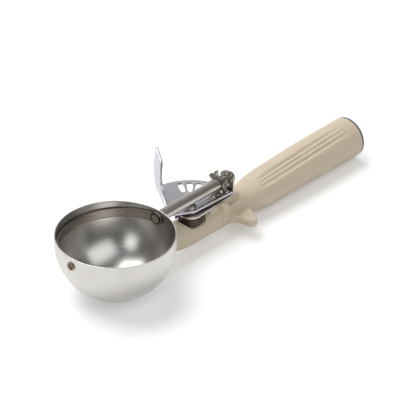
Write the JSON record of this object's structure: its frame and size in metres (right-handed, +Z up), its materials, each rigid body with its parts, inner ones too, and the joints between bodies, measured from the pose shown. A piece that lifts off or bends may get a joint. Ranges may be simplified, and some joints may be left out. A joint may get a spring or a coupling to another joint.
{
  "type": "lever ice cream scoop",
  "caption": "Portion scoop with a round steel bowl, a swinging scraper blade turned by a thumb lever through a slotted rack and pinion, and a moulded handle.",
  "frame": {"origin": "lowest point of the bowl's outside, where it touches the table the scoop is laid on", "axes": "+Z up from the table, +X from the bowl to the end of the handle, +Y to the side of the thumb lever; the drive shaft falls 0.851 degrees towards the handle"},
  "size_m": [0.2265, 0.0666, 0.0569],
  "materials": {
    "stainless_satin": "satin",
    "stainless_polished": "polished",
    "chrome_plate": "bright",
    "brass": "polished",
    "dark_steel": "oiled",
    "ivory_plastic": "satin moulded",
    "grey_plastic": "satin moulded"
  },
  "bodies": {
    "frame": {"bowl": "stainless_satin", "front_bush": "brass", "rear_bush": "stainless_polished", "handle_tang": "stainless_satin", "handle": "ivory_plastic", "end_cap": "grey_plastic", "bearing_bracket": "stainless_polished", "bracket_rivet": "stainless_polished", "ear_bush": "stainless_polished", "pivot_pin": "stainless_polished", "spring_sleeve": "stainless_polished", "thrust_washer": "brass"},
    "shaft": {"drive_shaft": "stainless_polished", "scraper_blade": "stainless_satin", "front_pin": "dark_steel", "blade_collar": "stainless_polished", "pinion": "stainless_polished", "pinion_collar": "stainless_polished", "shaft_washer": "stainless_polished", "shaft_nut": "stainless_polished"},
    "lever": {"thumb_lever": "chrome_plate", "lever_bush": "stainless_polished", "return_spring": "dark_steel"}
  },
  "joints": [
    {"name": "lever_swing", "type": "hinge", "parent": "frame", "child": "lever", "pos_m": [0.05849, 0, 0.03248], "axis": [0.0148, 0, 0.9999], "range_deg": [-47.22, 0], "stiffness_Nm_per_rad": 0.12, "springref_deg": 51.57, "deforming": ["return_spring"]},
    {"name": "shaft_turn", "type": "hinge", "parent": "frame", "child": "shaft", "pos_m": [0, 0, 0.03335], "axis": [0.9999, 0, -0.0148], "range_deg": [-170, 0]}
  ],
  "couplings": [
    {"joint": "shaft_turn", "follows": "lever_swing", "ratio": 3.6}
  ]
}
